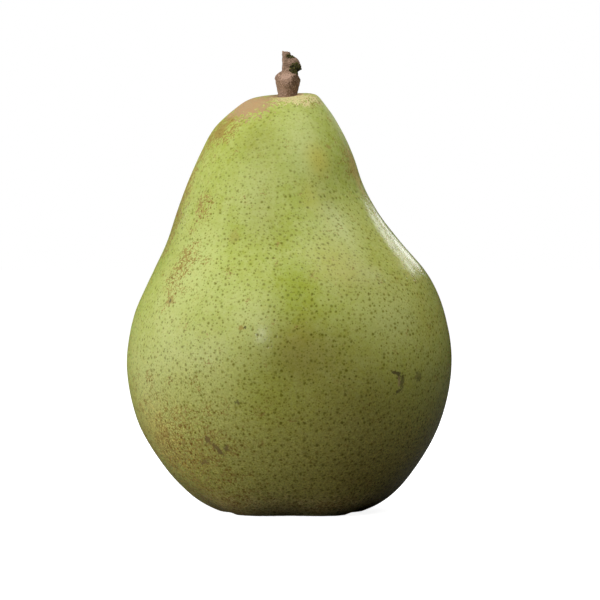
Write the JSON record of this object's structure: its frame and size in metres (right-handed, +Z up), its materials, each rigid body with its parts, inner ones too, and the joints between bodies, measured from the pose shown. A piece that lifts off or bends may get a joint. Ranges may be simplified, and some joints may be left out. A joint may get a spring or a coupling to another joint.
{
  "type": "pear",
  "caption": "Whole green pear with a lopsided bell shape, a short broad neck, a stubby woody stem and a dried calyx in the basin it stands on.",
  "frame": {"origin": "on the table, under the middle of the fruit's bounding box", "axes": "+Z up along the fruit towards its stem, -Y the front, +X the right"},
  "size_m": [0.0815, 0.079, 0.1152],
  "materials": {
    "skin": "smooth waxy skin, green with brown pores and russet patches",
    "stem_wood": "rough dry bark with a mossy lump",
    "calyx_scale": "matt, dried and wrinkled"
  },
  "bodies": {
    "root": {"fruit": "skin", "stem": "stem_wood", "calyx": "calyx_scale"}
  },
  "joints": []
}
